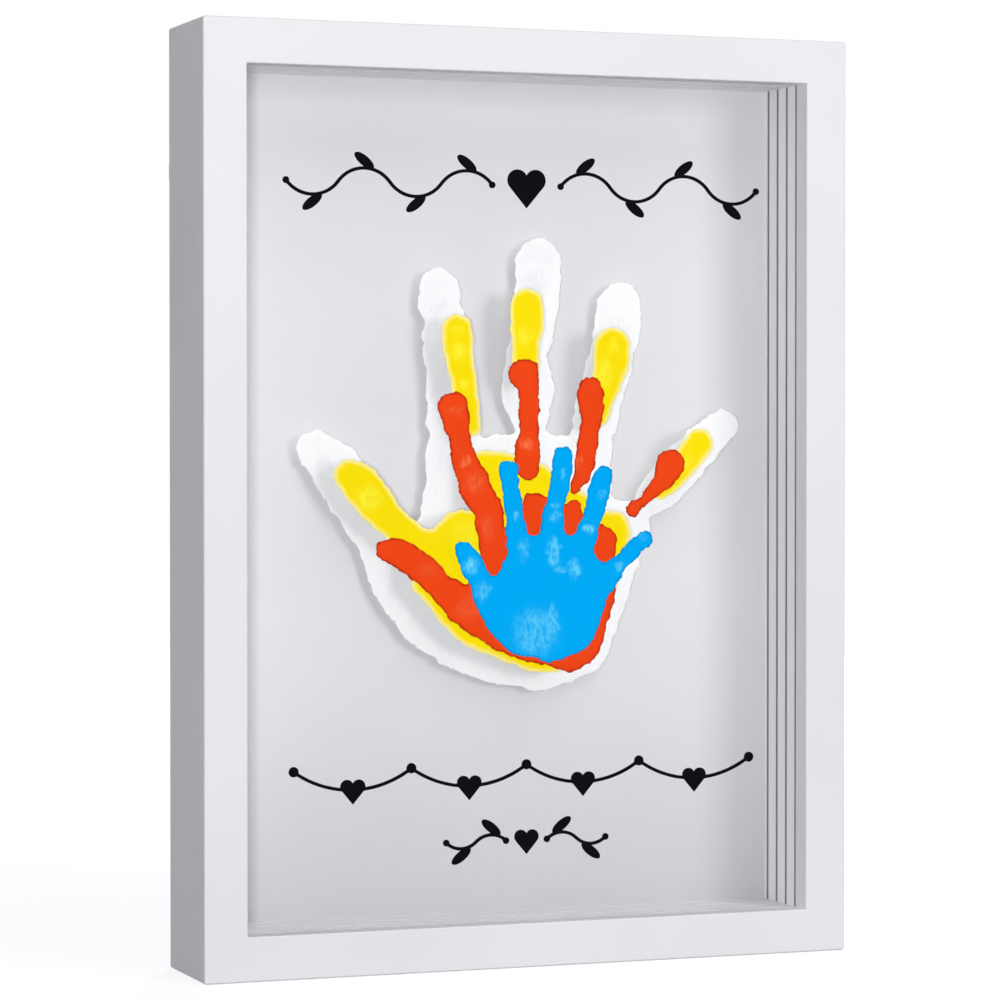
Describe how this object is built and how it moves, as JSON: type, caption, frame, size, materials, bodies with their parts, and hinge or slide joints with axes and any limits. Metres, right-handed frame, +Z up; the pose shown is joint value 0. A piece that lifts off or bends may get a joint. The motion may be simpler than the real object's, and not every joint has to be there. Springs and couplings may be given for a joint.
{
  "type": "layered handprint shadow-box frame",
  "caption": "Deep white mitred shadow-box frame holding a stack of clear sheets, each with a painted handprint, apart on spacer strips; turn buttons close its back board and D-rings hang it.",
  "frame": {"origin": "centre of the bottom face of the bottom rail, where the frame stands", "axes": "+X to the right seen from the front, +Y from the front to the back, +Z up along the height"},
  "size_m": [0.28, 0.0543, 0.382],
  "materials": {
    "painted_frame": "satin white paint over wood",
    "clear_acrylic": "clear polished acrylic sheet",
    "blue_paint": "thick glossy hand paint",
    "orange_paint": "thick glossy hand paint",
    "yellow_paint": "thick glossy hand paint",
    "white_paint": "thick glossy hand paint",
    "black_ink": "satin screen ink",
    "spacer_strip": "matt white painted strip",
    "backdrop": "pale matt faced board",
    "filler_card": "brown packing card",
    "hardboard": "smooth brown hardboard",
    "nail_steel": "bright steel strip",
    "zinc_steel": "zinc plated steel",
    "screw_steel": "yellow zinc plated steel"
  },
  "bodies": {
    "frame": {"left_rail": "painted_frame", "right_rail": "painted_frame", "top_rail": "painted_frame", "bottom_rail": "painted_frame", "corner_v_nails": "nail_steel", "front_sheet": "clear_acrylic", "second_sheet": "clear_acrylic", "third_sheet": "clear_acrylic", "rear_sheet": "clear_acrylic", "blue_handprint": "blue_paint", "orange_handprint": "orange_paint", "yellow_handprint": "yellow_paint", "white_handprint": "white_paint", "top_vine": "black_ink", "heart_garland": "black_ink", "small_sprig": "black_ink", "front_spacer_left": "spacer_strip", "front_spacer_right": "spacer_strip", "front_spacer_top": "spacer_strip", "front_spacer_bottom": "spacer_strip", "second_spacer_left": "spacer_strip", "second_spacer_right": "spacer_strip", "second_spacer_top": "spacer_strip", "second_spacer_bottom": "spacer_strip", "third_spacer_left": "spacer_strip", "third_spacer_right": "spacer_strip", "third_spacer_top": "spacer_strip", "third_spacer_bottom": "spacer_strip", "rear_spacer_left": "spacer_strip", "rear_spacer_right": "spacer_strip", "rear_spacer_top": "spacer_strip", "rear_spacer_bottom": "spacer_strip", "backdrop_panel": "backdrop", "filler_card": "filler_card", "back_board": "hardboard", "button_screws": "screw_steel", "hanger_strap_left": "zinc_steel", "hanger_strap_right": "zinc_steel", "hanger_screws": "screw_steel"},
    "turn_button_left_upper": {"turn_button_left_upper": "zinc_steel"},
    "turn_button_left_lower": {"turn_button_left_lower": "zinc_steel"},
    "turn_button_right_upper": {"turn_button_right_upper": "zinc_steel"},
    "turn_button_right_lower": {"turn_button_right_lower": "zinc_steel"},
    "turn_button_top": {"turn_button_top": "zinc_steel"},
    "turn_button_bottom": {"turn_button_bottom": "zinc_steel"},
    "d_ring_left": {"d_ring_left": "zinc_steel"},
    "d_ring_right": {"d_ring_right": "zinc_steel"}
  },
  "joints": [
    {"name": "turn_button_left_upper_swivel", "type": "hinge", "parent": "frame", "child": "turn_button_left_upper", "pos_m": [-0.1335, 0.0259, 0.261], "axis": [0, 1, 0], "continuous": true},
    {"name": "turn_button_left_lower_swivel", "type": "hinge", "parent": "frame", "child": "turn_button_left_lower", "pos_m": [-0.1335, 0.0259, 0.121], "axis": [0, 1, 0], "continuous": true},
    {"name": "turn_button_right_upper_swivel", "type": "hinge", "parent": "frame", "child": "turn_button_right_upper", "pos_m": [0.1335, 0.0259, 0.261], "axis": [0, 1, 0], "continuous": true},
    {"name": "turn_button_right_lower_swivel", "type": "hinge", "parent": "frame", "child": "turn_button_right_lower", "pos_m": [0.1335, 0.0259, 0.121], "axis": [0, 1, 0], "continuous": true},
    {"name": "turn_button_top_swivel", "type": "hinge", "parent": "frame", "child": "turn_button_top", "pos_m": [0, 0.0259, 0.3755], "axis": [0, 1, 0], "continuous": true},
    {"name": "turn_button_bottom_swivel", "type": "hinge", "parent": "frame", "child": "turn_button_bottom", "pos_m": [0, 0.0259, 0.0065], "axis": [0, 1, 0], "continuous": true},
    {"name": "d_ring_left_swing", "type": "hinge", "parent": "frame", "child": "d_ring_left", "pos_m": [-0.1335, 0.0273, 0.328], "axis": [1, 0, 0], "range_deg": [0, 180]},
    {"name": "d_ring_right_swing", "type": "hinge", "parent": "frame", "child": "d_ring_right", "pos_m": [0.1335, 0.0273, 0.328], "axis": [1, 0, 0], "range_deg": [0, 180]}
  ]
}
